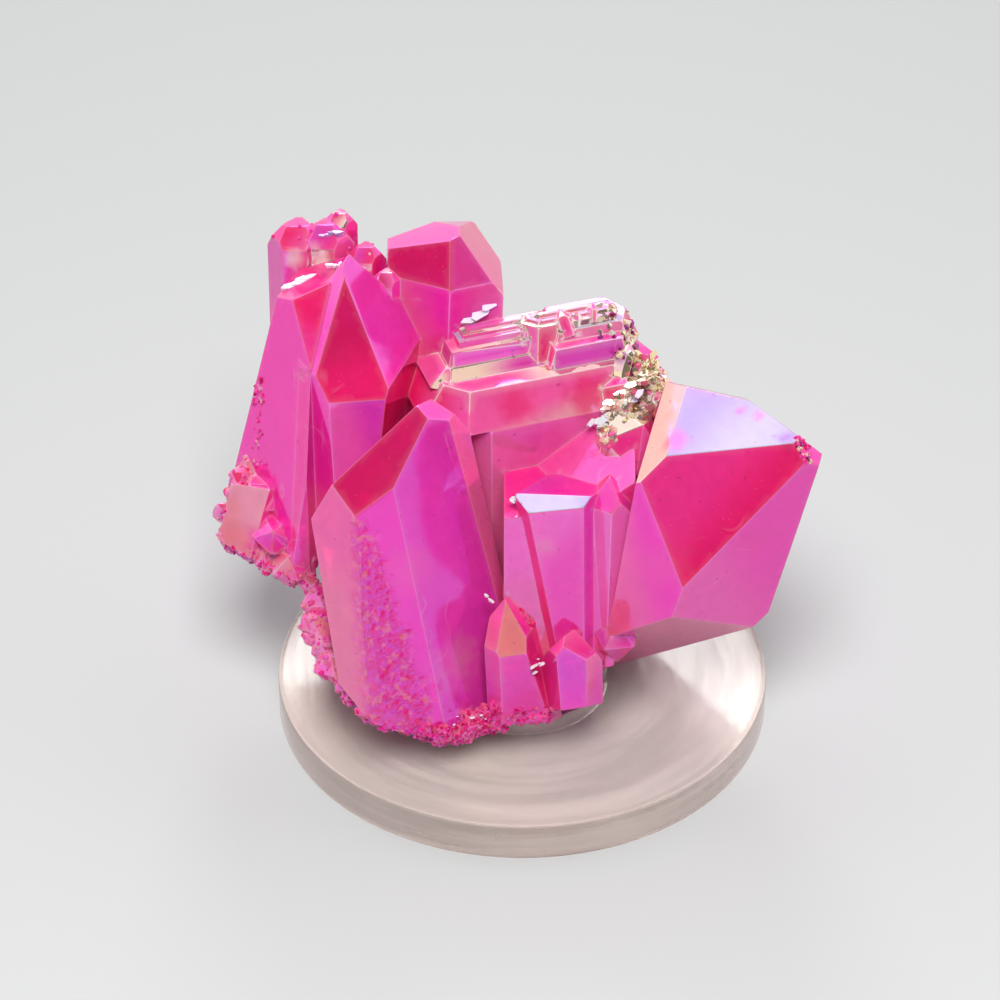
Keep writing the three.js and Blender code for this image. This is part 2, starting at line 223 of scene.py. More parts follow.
def inset_line(flat, step):
    """Points just inside an outline, and the lines that join them along it."""
    spots, lines = [], []
    last = first = None
    count = len(flat)
    for i in range(count):
        a, b = flat[i], flat[(i + 1) % count]
        along = b - a
        length = np.hypot(*along)
        spot = (a + b) / 2 + np.array([-along[1], along[0]]) / max(length, 1e-12) * EDGE_ROUND
        is_in, away = inside(spot, flat)
        if length < SHORT_EDGE * step or not is_in or away < 0.9 * EDGE_ROUND:
            last = None
            continue
        here = len(spots)
        spots.append(spot)
        if last is not None:
            lines.append((last, here))
        elif first is None and i == 0:
            first = here
        last = here
    if first is not None and last is not None and last != first:
        lines.append((last, first))
    return spots, lines


def face_spots(flat, step):
    """Spots that fill a flat outline: those just inside its edge first, then rows of even triangles. Also the
    lines that join the first ones, and how many there are of them."""
    spots, lines = inset_line(flat, step)
    along_edge = len(spots)
    low, high = flat.min(0), flat.max(0)
    rows = int((high[1] - low[1]) / (step * HEX)) + 1
    columns = int((high[0] - low[0]) / step) + 1
    for row in range(rows):
        y = low[1] + (row + 0.5) * step * HEX
        for column in range(columns):
            spot = np.array([low[0] + (column + 0.5 * (row % 2)) * step, y])
            is_in, away = inside(spot, flat)
            if is_in and away > 0.5 * step:
                spots.append(spot)
    return spots, lines, along_edge


def fine_mesh(bm, steps):
    """Even triangles on every flat face, closer together along its edges. Returns points, triangles, the face
    of each triangle, the face of each point, or -1 on an edge, and which points lie just inside an edge."""
    points = [v.co.copy() for v in bm.verts]
    owner = [-1] * len(points)
    near_edge = [False] * len(points)
    triangles = []
    facets = []
    bm.verts.index_update()
    for number, face in enumerate(bm.faces):
        step = steps.get(number, FACE_STEP)
        side, up = plane_axes(face.normal)
        origin = face.verts[0].co
        ring = [v.index for v in face.verts]
        flat = np.array([((v.co - origin).dot(side), (v.co - origin).dot(up)) for v in face.verts])
        corners = len(flat)
        spots, lines, along_edge = [], [], 0
        if face.calc_area() > 4 * EDGE_ROUND * step:
            spots, lines, along_edge = face_spots(flat, step)
        every = [Vector(p) for p in flat] + [Vector(p) for p in spots]
        fixed = [(corners + a, corners + b) for a, b in lines]
        result = delaunay_2d_cdt(every, fixed, [list(range(corners))], 1, 1e-9)
        places, made, came_from = result[0], result[2], result[3]
        index = []
        for place, sources in zip(places, came_from):
            first = next((k for k in sources if k < corners), None)
            if first is not None:
                index.append(ring[first])
                continue
            index.append(len(points))
            points.append(origin + side * place.x + up * place.y)
            owner.append(number)
            near_edge.append(min(sources, default=len(every)) < corners + along_edge)
        for triangle in made:
            a, b, c = (index[k] for k in triangle)
            if len({a, b, c}) < 3:
                continue
            normal = (points[b] - points[a]).cross(points[c] - points[a])
            triangles.append((a, b, c) if normal.dot(face.normal) > 0 else (a, c, b))
            facets.append(number)
    return np.array(points), np.array(triangles), np.array(facets), np.array(owner), np.array(near_edge)


def round_edges(points, triangles, owner):
    """Draws every point on an edge a little way into the crystal, so that the edge catches light."""
    sums = np.zeros_like(points)
    counts = np.zeros(len(points))
    near = owner >= 0
    for a, b in ((0, 1), (1, 2), (2, 0)):
        for start, end in ((triangles[:, a], triangles[:, b]), (triangles[:, b], triangles[:, a])):
            reach = np.linalg.norm(points[start] - points[end], axis=1)
            close = near[end] & (reach < 3 * EDGE_ROUND + EDGE_STEP / 2) & ~near[start]
            np.add.at(sums, start[close], points[end[close]])
            np.add.at(counts, start[close], 1)
    moved = points.copy()
    on_edge = counts > 0
    inward = sums[on_edge] / counts[on_edge, None] - points[on_edge]
    length = np.linalg.norm(inward, axis=1, keepdims=True)
    moved[on_edge] += inward * np.minimum(1, EDGE_DRAWN * EDGE_ROUND / np.maximum(length, 1e-9))
    return moved


def crisp_normals(points, triangles):
    """Point normals in which big triangles count for most, so that faces look flat up to their edges."""
    cross = np.cross(points[triangles[:, 1]] - points[triangles[:, 0]],
                     points[triangles[:, 2]] - points[triangles[:, 0]])
    weight = np.linalg.norm(cross, axis=1, keepdims=True)
    sums = np.zeros_like(points)
    for k in range(3):
        np.add.at(sums, triangles[:, k], cross * weight)
    return sums / np.maximum(np.linalg.norm(sums, axis=1, keepdims=True), 1e-30)


# ---- the coating's colours ----------------------------------------------------------------------------

PALETTE = {
    "crimson": (0.93, 0.008, 0.13),
    "ruby": (0.68, 0.004, 0.09),
    "hot": (0.97, 0.03, 0.26),
    "magenta": (1.00, 0.02, 0.35),
    "violet": (0.80, 0.04, 0.40),
    "rose": (0.94, 0.13, 0.24),
    "peach": (0.88, 0.23, 0.22),
    "pink": (0.98, 0.11, 0.36),
    "gold": (1.00, 0.84, 0.46),
    "cream": (1.00, 0.90, 0.72),
    "straw": (1.00, 0.74, 0.54),
    # The next three paint highlights and reflections: white on the flakes, lilac on the ledge tops and a few
    # flakes, lilac and ice on the pale top faces.
    "painted_glint_white": (1.00, 1.00, 1.00),
    "lilac": (0.34, 0.44, 0.60),
    "ice": (0.50, 0.66, 0.74),
    "wine": (0.22, 0.002, 0.02),
    "pale": (0.90, 0.34, 0.40),
    # glow is a bright pink that paints light onto faces that lie in shade
    "glow": (1.00, 0.17, 0.45),
}

# The colour of a face changes evenly from one spot on it to another. Each row: a spot on the face in
# millimetres and its colour, then the second spot and its colour.
FACE_COLOURS = [
    # the right-hand crystal: the pale top face, the crimson one, the one to its left and the lower right one
    # its top face's lilac and ice are a painted reflection of the bright light above it
    [(20, -4, 46.4), "lilac", (25, -7.5, 44.6), "ice"],
    [(20.4, -10.4, 41.1), "hot", (26, -12.5, 36.9), "crimson"],
    [(11.5, -11, 28), "rose", (17, -12, 30), "magenta"],
    [(22, -13.5, 26), "pink", (29, -10, 30), "magenta"],
    # the front crystal
    [(-12, -9.4, 37.5), "violet", (-9, -14, 20), "violet"],
    [(-20.7, -10, 40.8), "ruby", (-17.5, -9.3, 42), "ruby"],
    [(-23.3, -12.6, 25.2), "peach", (-22, -12, 34), "rose"],
    [(-17.3, -15.9, 27.8), "magenta", (-16.8, -18.7, 18.1), "magenta"],
    # the left tower
    [(-28.1, 6.3, 49.3), "magenta", (-25.7, 0, 42.2), "magenta"],
    [(-22, 3.5, 51.2), "ruby", (-20, 1, 47), "crimson"],
    [(-14.4, 4.2, 50.4), "violet", (-15, 3, 44), "magenta"],
    [(-24.9, 5.7, 53.3), "crimson", (-26.2, 3.9, 50.9), "hot"],
    [(-20.9, -1.6, 40.5), "pink", (-17, -0.9, 41.5), "violet"],
    [(-23.5, -1.4, 34.5), "magenta", (-25.4, -2.9, 26.7), "pink"],
    # the top crystal
    [(-13.4, 17, 55), "ruby", (-10.6, 15.4, 52), "ruby"],
    [(-5.7, 15.6, 54.2), "ruby", (-3, 19, 50), "violet"],
    # the terraces' widest ledge, their front, and the ramp below it
    # the widest ledge's straw is a painted highlight of the light from above
    [(-9.6, 6, 43.8), "straw", (-9, 6.3, 44), "pink"],
    [(-6, 6.9, 43.75), "straw", (0, 8, 43.75), "violet"],
    [(2.6, 4.1, 40.7), "crimson", (9.2, 7, 41.6), "hot"],
    [(2.7, 3.2, 34.1), "pink", (9.1, 1.1, 37.1), "pink"],
    [(13.8, -0.9, 38.5), "pink", (9.1, 1.1, 37.1), "pink"],
    # the middle crystals
    [(3.1, -9.3, 33), "pink", (6.5, -10, 30), "hot"],
    [(9.6, -8.9, 31.2), "pink", (10.8, -9.5, 28.7), "glow"],
    [(11.4, -9.2, 28.6), "glow", (12, -11.8, 26), "pink"],
    [(9.1, -9, 28.3), "glow", (8.9, -10.4, 20.5), "pink"],
    [(-0.9, -8.7, 28.2), "pink", (-0.9, -8.7, 24), "rose"],
    # the pale top of a middle crystal: its ice and lilac are a painted reflection of the light above it
    [(5.5, -7.4, 36), "ice", (8, -7, 36), "lilac"],
    # the two lower points
    [(-1.3, -14.4, 20.6), "peach", (-2, -12, 23), "peach"],
    [(-2.1, -16.7, 14.9), "hot", (-1, -17, 12), "crimson"],
    [(6.1, -16.4, 17.7), "violet", (6, -17, 12), "magenta"],
    # the strips between the front crystal and the middle ones, coloured bright as painted light over the
    # shade in them
    [(-3.7, 1.2, 30), "glow", (-3, 1.8, 20), "glow"],
    [(-2.1, -10.7, 23.7), "pink", (-2, -11, 20), "rose"],
    [(-2.7, 2.2, 40.6), "pink", (-2, 2, 38), "pale"],
    # the gold sliver at the side of the right-hand crystal
    [(16.9, -2.2, 44.5), "straw", (15.3, -5, 42.9), "straw"],
    # the slots beside the front crystal, which lie in shade, coloured bright as painted light
    [(-5.1, -5.4, 30), "glow", (-3.1, -4.2, 24.7), "glow"],
    [(-2.4, 1.6, 27.8), "glow", (-2.7, 1.4, 33.9), "glow"],
    [(-3, -5.6, 22.8), "glow", (-2.7, -6.9, 20.7), "pink"],
    # the underside of the right-hand crystal, coloured bright as painted light over the shade under it
    [(14.2, -5.1, 11.6), "glow", (21.4, -5.8, 13.7), "glow"],
    [(14.3, -3.2, 9.3), "pink", (12, -2.4, 7.9), "hot"],
    [(21.4, -5.8, 13.7), "glow", (25.9, -9.3, 18.8), "glow"],
    # the plate at the lower left
    [(-33.3, 1.2, 28.1), "pale", (-35.2, 0.3, 25.8), "peach"],
]

# Patches where the coating differs: a middle and a reach in millimetres, a colour, and how strong it is.
PATCHES = [
    ((17.6, -7, 44.4), 1.9, "pink", 0.6),
    ((27.5, -4.4, 45.7), 0.9, "magenta", 0.6),
    ((25.4, -3.6, 46), 0.6, "violet", 0.6),
    ((30.6, -7.6, 44.6), 1.6, "wine", 0.7),
    ((-8.4, 20.6, 56), 2.2, "violet", 0.5),
    ((-11.6, 14.6, 51.6), 1.6, "hot", 0.6),
    ((-31.6, -1.4, 25.6), 1.8, "magenta", 0.8),
    ((-35, 2, 28), 1.2, "peach", 0.8),
    ((-33, 5, 31.6), 1.6, "crimson", 0.8),
    ((-13.6, -12.6, 30), 4, "rose", 0.35),
    ((-6.6, -15.6, 17.5), 5, "pale", 0.35),
    ((-21, -14.6, 19), 4.5, "peach", 0.6),
    ((3, 2.6, 36), 4, "hot", 0.35),
    # on the peaks, cream and violet patches paint the bands of light that their faces reflect
    ((-27.2, 16.6, 54), 1.4, "cream", 0.7),
    ((-24.8, 17, 55.2), 1.2, "cream", 0.65),
    ((-22.9, 18.4, 57.6), 1.7, "violet", 0.8),
    ((-21, 17.6, 55.8), 0.8, "cream", 0.6),
    ((-1, 4, 41.6), 3, "crimson", 0.6),
    ((8, 6.2, 41.6), 3.6, "crimson", 0.7),
    ((12.6, -12, 24), 3, "rose", 0.6),
    ((17, -13, 31), 3.6, "rose", 0.35),
    ((27, -11.6, 33), 3.6, "hot", 0.4),
    ((-19.6, 3, 48), 1.2, "wine", 0.3),
    ((-24.4, -2, 31), 3, "rose", 0.5),
    ((2.6, -9.6, 31), 1.6, "peach", 0.6),
    ((0.6, -15, 13), 3, "crimson", 0.7),
]

# Crusts and rough places, as lines with a reach round them: what colours their small faces take, how far
# the surface crumbles in millimetres, and how many grains grow there. Some also say how much bigger than
# usual the grains are, and whether they grow on large faces as well as on small ones.
CRUSTS = [
    {"line": ((11, 14, 45.5), (17.2, 8, 43)), "reach": 3.4, "grains": 150, "crumble": 0.14,
     "size": 1.7, "colours": ["gold", "cream", "gold", "wine", "gold", "rose"]},
    {"line": ((17, 7, 44), (9, 1.5, 38.5)), "reach": 2.8, "grains": 60, "crumble": 0.14,
     "size": 1.7, "colours": ["cream", "gold", "gold", "cream", "rose"]},
    {"line": ((-34.5, 6, 31), (-34.5, 1, 23)), "reach": 2.6, "grains": 110, "crumble": 0.1,
     "colours": ["pale", "peach", "crimson", "pale", "pink"]},
    {"line": ((-34.5, 1, 23), (-25, -3.5, 21)), "reach": 3, "grains": 180, "crumble": 0.12,
     "colours": ["pink", "pale", "hot", "crimson", "peach"]},
    {"line": ((-25.5, -8, 20), (-19.5, -16, 13)), "reach": 3, "grains": 150, "crumble": 0.16,
     "colours": ["peach", "rose", "pink", "pink", "hot"]},
    {"line": ((-19.5, -18.6, 12.5), (-9, -18.4, 9)), "reach": 2.4, "grains": 120, "crumble": 0.12,
     "colours": ["rose", "hot", "crimson", "magenta"]},
    {"line": ((-9, -17.6, 9.5), (-2.5, -15, 9.4)), "reach": 2.8, "grains": 220, "crumble": 0.12,
     "colours": ["crimson", "hot", "ruby", "rose"]},
    {"line": ((-3.4, -17, 11), (5, -16.4, 10)), "reach": 1.9, "grains": 110, "crumble": 0.14, "large": True,
     "colours": ["crimson", "hot", "ruby", "rose"]},
    {"line": ((-31.4, 8.4, 41), (-32.3, 5.6, 32)), "reach": 1.3, "grains": 44, "crumble": 0.2, "large": True,
     "colours": ["crimson", "ruby", "hot", "pale"]},
    {"line": ((1.2, -10, 21), (2.5, -11, 12)), "reach": 2, "grains": 60, "crumble": 0.08,
     "colours": ["crimson", "hot", "rose"]},
    {"line": ((-27, 20, 57), (-16, 16, 53)), "reach": 5, "grains": 26, "crumble": 0.04,
     "colours": ["violet", "crimson", "cream", "magenta", "hot", "pink", "ruby"]},
    {"line": ((32, -8.2, 44.4), (31.4, -10, 41.6)), "reach": 1.8, "grains": 50, "crumble": 0.16,
     "colours": ["wine", "gold", "crimson", "hot"]},
    {"line": ((-30.6, 9, 33), (-32, 8, 30)), "reach": 1.6, "grains": 0, "crumble": 0.08,
     "colours": ["crimson", "hot", "pale"]},
]
SMALL_FACE = 9 * MM * MM      # a crust's colours go to faces up to this size

# The front crystal's granular band: the line down its middle, its reach at the top and at the bottom, and how
# deep and how wide its hollows are, all in millimetres. The faces that it crosses have finer triangles.
GRANULAR_LINE = ((-19.2, -13.6, 37), (-14.5, -19.9, 11.7))
GRANULAR_REACH = (1.3, 5.8)
HOLLOW = (0.2, 0.9)
FINE_FACES = [(-17.3, -15.9, 27.8)]
FINE_STEP = 0.3 * MM

# A face that isn't named takes two of these, each as often as its share.
USUAL_COLOURS = {"hot": 0.26, "magenta": 0.2, "pink": 0.24, "crimson": 0.1, "violet": 0.1, "rose": 0.1}

# The terraces, in millimetres: where their flat tops begin at the left, at the front and in height, and the
# sides between which the edges of their ledges are painted pale, a painted highlight. The foot of the top
# crystal isn't part of them.
LEDGE_TOPS = (-12, 2, 43)
# the tints of the ledges' flat tops, a painted highlight of the light from above
LEDGE_HIGHLIGHT_TINTS = ["violet", "cream", "gold", "lilac", "cream"]
LEDGE_SIDES = (-11, 15)
LEDGE_FRONT_BACK = (2, 16)
LEDGE_LOW = 40
TOP_CRYSTAL_RIGHT = -3
TOP_CRYSTAL_LOW = 46.5

CLOUD_SIZE = 5 * MM           # soft clouds in the coating, and how much they warm and cool it
CLOUD_WARM = 0.22
CLOUD_COOL = 0.30
NAMED_CLOUD = 0.35            # how much of that the named faces have
MOTTLE_SIZE = 1.1 * MM
MOTTLE = 0.08
EDGE_HIGHLIGHT = (0.9, 0.16)       # how much paler edges are painted, a painted highlight, on the terraces and elsewhere
INSET_HIGHLIGHT = (0.16, 0.04)     # the same, just inside an edge

FACE_SEED = 7
CRUST_SEED = 11
GRAIN_SEED = 23


def nearest_face(tree, place):
    """The number of the flat face that is nearest to a place in millimetres."""
    return tree.find_nearest(metres(place))[2]


def facet_table(bm):
    """For each flat face: its two colours, where the first one holds, the way and length of the change, how
    cloudy it is, and its normal, middle and area."""
    rng = np.random.default_rng(FACE_SEED)
    usual, shares = list(USUAL_COLOURS), list(USUAL_COLOURS.values())
    count = len(bm.faces)
    table = {
        "first": np.zeros((count, 3)), "second": np.zeros((count, 3)),
        "start": np.zeros((count, 3)), "way": np.zeros((count, 3)),
        "normal": np.array([f.normal for f in bm.faces]),
        "middle": np.array([f.calc_center_median() for f in bm.faces]),
        "area": np.array([f.calc_area() for f in bm.faces]),
        "cloudy": np.ones(count),
    }
    for number, face in enumerate(bm.faces):
        one, two = rng.choice(len(usual), 2, p=shares)
        table["first"][number] = PALETTE[usual[one]]
        table["second"][number] = PALETTE[usual[two]]
        side, up = plane_axes(face.normal)
        angle = rng.uniform(0, 2 * math.pi)
        way = side * math.cos(angle) + up * math.sin(angle)
        length = max(math.sqrt(table["area"][number]), 1 * MM)
        table["start"][number] = table["middle"][number] - np.array(way) * length / 2
        table["way"][number] = np.array(way) / length
    return table


def paint_ledge_highlights(table):
    """The flat tops of the terraces' ledges are painted from violet to gold: a painted highlight of the light
    that falls on them from above.
    """
    middle = table["middle"] / MM
    tops = (table["normal"][:, 2] > 0.98) & np.all(middle > LEDGE_TOPS, axis=1)
    for number in np.flatnonzero(tops):
        highlight_tint = LEDGE_HIGHLIGHT_TINTS[int(middle[number, 2] * 2.5) % len(LEDGE_HIGHLIGHT_TINTS)]
        table["first"][number] = PALETTE[highlight_tint]
        table["second"][number] = PALETTE["pink"]


def colour_crusts(table):
    """The small faces of each crust take two of its colours."""
    rng = np.random.default_rng(CRUST_SEED)
    for crust in CRUSTS:
        near = distance_to_line(table["middle"], crust["line"]) < crust["reach"] * MM
        for number in np.flatnonzero(near & (table["area"] < SMALL_FACE)):
            one, two = rng.integers(0, len(crust["colours"]), 2)
            table["first"][number] = PALETTE[crust["colours"][one]]
            table["second"][number] = PALETTE[crust["colours"][two]]


def colour_named_faces(table, tree):
    """The faces of the photo's side take the colours that they are given by name."""
    for place, colour, other_place, other_colour in FACE_COLOURS:
        number = nearest_face(tree, place)
        start, end = np.array(metres(place)), np.array(metres(other_place))
        table["first"][number] = PALETTE[colour]
        table["second"][number] = PALETTE[other_colour]
        table["start"][number] = start
        table["way"][number] = (end - start) / max(np.sum((end - start) ** 2), 1e-12)
        table["cloudy"][number] = NAMED_CLOUD


def granular(places):
    """How granular the coating is at each place, from 0 to 1: a band down the front crystal that widens."""
    start, end = (np.array(metres(p)) for p in GRANULAR_LINE)
    way = end - start
    t = np.clip((places - start) @ way / (way @ way), 0, 1)
    away = distance_to_line(places, GRANULAR_LINE) / MM
    reach = GRANULAR_REACH[0] + (GRANULAR_REACH[1] - GRANULAR_REACH[0]) * t
    ragged = np.array([even_noise(Vector(p), 2.2 * MM, 3) for p in places])
    return np.clip(2.2 * (1 - away / reach + 0.35 * ragged), 0, 1)


def noise_at(points, triangles, size, shift=(0, 0, 0)):
    """Smooth noise at each corner of each triangle."""
    values = [even_noise(Vector(p) + Vector(shift), size, 2) for p in points]
    return np.array(values)[triangles][..., None]


def blend(colours, share, name):
    """The colours with a share of a palette colour in them."""
    return colours + share * (np.array(PALETTE[name]) - colours)


def on_terraces(places):
    """Whether each place is on the terraces."""
    x, y, z = np.moveaxis(places / MM, 2, 0)
    level = (z > LEDGE_LOW) & (y > LEDGE_FRONT_BACK[0]) & (y < LEDGE_FRONT_BACK[1])
    beside = (x > TOP_CRYSTAL_RIGHT) | (z < TOP_CRYSTAL_LOW)
    return level & (x > LEDGE_SIDES[0]) & (x < LEDGE_SIDES[1]) & beside


def crystal_colours(points, triangles, facets, owner, near_edge, table):
    """A colour for each corner of each triangle."""
    places = points[triangles]
    t = np.einsum("tkc,tc->tk", places - table["start"][facets][:, None], table["way"][facets])
    t = np.clip(t, 0, 1)[..., None]
    t = t * t * (3 - 2 * t)
    colours = table["first"][facets][:, None] * (1 - t) + table["second"][facets][:, None] * t
    cloud = noise_at(points, triangles, CLOUD_SIZE) * table["cloudy"][facets][:, None, None]
    mottle = noise_at(points, triangles, MOTTLE_SIZE, (1, 2, 3))
    colours = blend(colours, np.clip(cloud, 0, 1) * CLOUD_WARM, "rose")
    colours = blend(colours, np.clip(-cloud, 0, 1) * CLOUD_COOL, "violet")
    colours = colours * (1 + MOTTLE * mottle)
    for middle, reach, name, strength in PATCHES:
        away = np.linalg.norm(places - np.array(metres(middle)), axis=2) / MM
        ragged = away + 0.3 * reach * mottle[..., 0] + 0.4 * cloud[..., 0]
        colours = blend(colours, strength * np.clip(1.6 * (1 - ragged / reach), 0, 1)[..., None], name)
    # Every edge and the points just inside it are blended towards cream: a painted highlight along the edges,
    # strongest on the terraces.
    terraces = on_terraces(places)
    edge_highlight = np.where(owner[triangles] < 0, np.where(terraces, *EDGE_HIGHLIGHT), 0)
    edge_highlight = np.where(near_edge[triangles], np.where(terraces, *INSET_HIGHLIGHT), edge_highlight)
    return np.clip(blend(colours, edge_highlight[..., None], "cream"), 0, 1)


# ---- the stone ----------------------------------------------------------------------------------------

WAVE_HEIGHT = 0.045 * MM      # the faces of a natural crystal aren't quite flat
WAVE_LENGTH = 7 * MM
FINE_HEIGHT = 0.006 * MM      # a finer waviness on top of that one
FINE_LENGTH = 2 * MM
CRUMB_SIZE = 0.7 * MM         # of the crumbling on the crusts
CRUMB_SEED = 3


def relief(points, owner, table, rough):
    """Raises and lowers the points of each face: a faint waviness all over, hollows in the granular band."""
    moved = points.copy()
    depth, width = (number * MM for number in HOLLOW)
    for i in np.flatnonzero(owner >= 0):
        place = Vector(points[i])
        rise = WAVE_HEIGHT * even_noise(place, WAVE_LENGTH) + FINE_HEIGHT * even_noise(place, FINE_LENGTH)
        if rough[i] > 0:
            rise -= rough[i] * depth * (0.5 + even_noise(place, width, 4))
        moved[i] += table["normal"][owner[i]] * rise
    return moved


def crumble(points):
    """Breaks up the surface of the crusts."""
    noise.seed_set(CRUMB_SEED)
    moved = points.copy()
    for crust in CRUSTS:
        away = distance_to_line(points, crust["line"])
        reach = crust["reach"] * MM
        for i in np.flatnonzero(away < reach):
            strength = crust["crumble"] * MM * min(1, 2 * (1 - away[i] / reach))
            shift = noise.noise_vector(Vector(points[i]) / CRUMB_SIZE)
            moved[i] += np.array(shift) * strength
    return moved


def set_corner_colours(mesh, name, colours):
    """Colours for each triangle's three corners, as a surface attribute that the material reads."""
    attribute = mesh.color_attributes.new(name=name, type="FLOAT_COLOR", domain="CORNER")
    flat = np.ones((len(mesh.loops), 4), dtype=np.float32)
    flat[:, :3] = np.asarray(colours).reshape(-1, 3)
    attribute.data.foreach_set("color", flat.ravel())


def build_cluster():
    """The stone, with its mesh data for the grains that grow on it."""
    bm = flat_faces("quartz_cluster")
    bm.faces.ensure_lookup_table()
    tree = BVHTree.FromBMesh(bm)
    table = facet_table(bm)
    paint_ledge_highlights(table)
    colour_crusts(table)
    colour_named_faces(table, tree)
    steps = {nearest_face(tree, place): FINE_STEP for place in FINE_FACES}
    cut_edges(bm, EDGE_STEP)
    points, triangles, facets, owner, near_edge = fine_mesh(bm, steps)
    bm.free()
    points = round_edges(points, triangles, owner)
    colours = crystal_colours(points, triangles, facets, owner, near_edge, table)
    rough = granular(points)
    points = crumble(relief(points, owner, table, rough))
    crystal = mesh_object("aura_quartz", points, triangles)
    mesh = crystal.data
    mesh.polygons.foreach_set("use_smooth", [True] * len(mesh.polygons))
    set_corner_colours(mesh, "coating", colours)
    set_corner_colours(mesh, "granular", np.repeat(rough[triangles][..., None], 3, axis=2))
    mesh.normals_split_custom_set_from_vertices(crisp_normals(points, triangles).tolist())
    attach(crystal, "root")
    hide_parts("quartz_cluster")
    return crystal, points, triangles, facets, table


# ---- grains and flakes --------------------------------------------------------------------------------

GRAIN_RADIUS = (0.13, 0.34)   # least and most, in millimetres
GRAIN_LENGTH = (2.2, 3.4)     # times the radius
GRAIN_LEAN = 0.45             # how far grains lean away from upright
GRAIN_SUNK = 0.12             # how much of the length a grain's middle lies under the surface
GRAIN_SHADE = (0.85, 1.1)     # how dark and how bright a grain may be beside its colour

# Rows of small flat flakes along the crystals' edges, each row from one spot to another: how many, how long a
# flake is in millimetres, how far they stray from the row, their colour, and which way they face. The white
# flakes are painted highlights: plain white so that they read as glints.
FLAKES = [
    [(-27.8, 10.8, 53.8), (-25.4, 12.3, 54.25), 9, 2.4, 0.06, "painted_glint_white", "level"],
    [(-6.4, 12, 48.3), (-3.6, 13.9, 49.5), 3, 5, 0.04, "painted_glint_white", "edge"],
    [(-8, 12.2, 51), (-7.2, 12.6, 51.4), 2, 0.9, 0.1, "painted_glint_white", "open"],
    [(14.6, 6.6, 44.1), (9.8, 4.2, 40.7), 14, 2.6, 0.4, "cream", "level"],
    [(13.4, 4.6, 42.7), (8.2, 2.6, 39.1), 16, 2.4, 0.4, "painted_glint_white", "open"],
    [(13, 2.6, 41.1), (9.6, 1.6, 39.1), 8, 1.9, 0.3, "gold", "open"],
    [(15.6, 9.4, 45), (14.6, 7.4, 44.6), 6, 1.6, 0.3, "gold", "open"],
    [(-23.8, 17.4, 56.9), (-21.8, 17.4, 57.2), 4, 1.3, 0.15, "lilac", "level"],
    [(-23.2, 12.2, 56), (-21, 12.4, 56.6), 4, 1.4, 0.15, "painted_glint_white", "level"],
    [(-1.2, -6.3, 34.8), (-0.6, -6.2, 35.4), 4, 1, 0.15, "painted_glint_white", "open"],
    [(-4.4, -10.4, 24.3), (-3.8, -10.6, 23.7), 3, 1.1, 0.1, "painted_glint_white", "open"],
    [(0.8, -9.8, 22.4), (1.6, -9.8, 22.6), 3, 1.1, 0.1, "painted_glint_white", "open"],
    [(1.2, -15.6, 17.4), (2.6, -15.4, 18.6), 8, 0.9, 0.4, "painted_glint_white", "open"],
    [(-31.5, 0.6, 24.4), (-28, -1, 24), 9, 0.9, 0.25, "painted_glint_white", "open"],
    [(31, -7.6, 44.6), (32.4, -8.7, 43.9), 6, 1, 0.15, "gold", "open"],
    [(-10, -18.4, 11.4), (-4, -17, 11), 6, 0.7, 0.4, "painted_glint_white", "open"],
]
# A heading and a height in degrees, and how many degrees the flakes scatter from it. Level flakes lie flat,
# open ones face the bright side of the room, and those along one smooth edge scatter less.
FLAKE_FACING = {
    "level": (0, 90, 3),
    "open": (-44, 58, 6),
    "edge": (-44, 58, 1.5),
}
FLAKE_SIZE = (0.4, 1.2)       # least and most, times the size that the row gives
FLAKE_RADIUS = (0.35, 0.6)    # times the flake's size, differing from corner to corner
FLAKE_WIDTH = 0.45            # times its length
FLAKE_DEPTH = 0.3             # times its size
FLAKE_FOOT = 0.8              # width of its foot, times the width of its face


class Pieces:
    """Many small pieces in one mesh: points, triangles, and a colour for each corner of each triangle."""

    def __init__(self):
        self.points, self.triangles, self.colours = [], [], []

    def add(self, piece, colour):
        points, triangles = piece
        base = len(self.points)
        self.points += points
        self.triangles += [tuple(base + k for k in corners) for corners in triangles]
        self.colours += [colour] * (3 * len(triangles))


def grain(middle, axis, radius, length, turn):
    """A small six-sided crystal: its points and triangles."""
    side, up = plane_axes(axis)
    angles = [turn + k * math.pi / 3 for k in range(6)]
    ring = [side * math.cos(angle) + up * math.sin(angle) for angle in angles]
    low = [middle + radius * r - axis * length * 0.5 for r in ring]
    high = [middle + radius * r + axis * length * 0.15 for r in ring]
    points = low + high + [middle + axis * length * 0.5, middle - axis * length * 0.5]
    triangles = []
    for k in range(6):
        n = (k + 1) % 6
        triangles += [(k, n, 6 + n), (k, 6 + n, 6 + k), (6 + k, 6 + n, 12), (n, k, 13)]
    return points, triangles


def flake(middle, along, size, facing, rng):
    """A thin six-cornered flake, longest along the row that it is in: its points and triangles."""
    heading, height, scatter = FLAKE_FACING[facing]
    normal = (towards(heading, height) + Vector(rng.normal(0, math.radians(scatter), 3))).normalized()
    up = normal.cross(along).normalized()
    side = up.cross(normal)
    ring = []
    for k in range(6):
        angle = (k + rng.uniform(-0.3, 0.3)) * math.pi / 3
        outward = side * math.cos(angle) + up * math.sin(angle) * FLAKE_WIDTH
        ring.append(outward * size * rng.uniform(*FLAKE_RADIUS))
    down = normal * FLAKE_DEPTH * size
    points = [middle + r for r in ring] + [middle + FLAKE_FOOT * r - down for r in ring]
    points += [middle, middle - down]
    triangles = []
    for k in range(6):
        n = (k + 1) % 6
        triangles += [(k, n, 12), (6 + k, n, k), (6 + k, 6 + n, n), (6 + n, 6 + k, 13)]
    return points, triangles


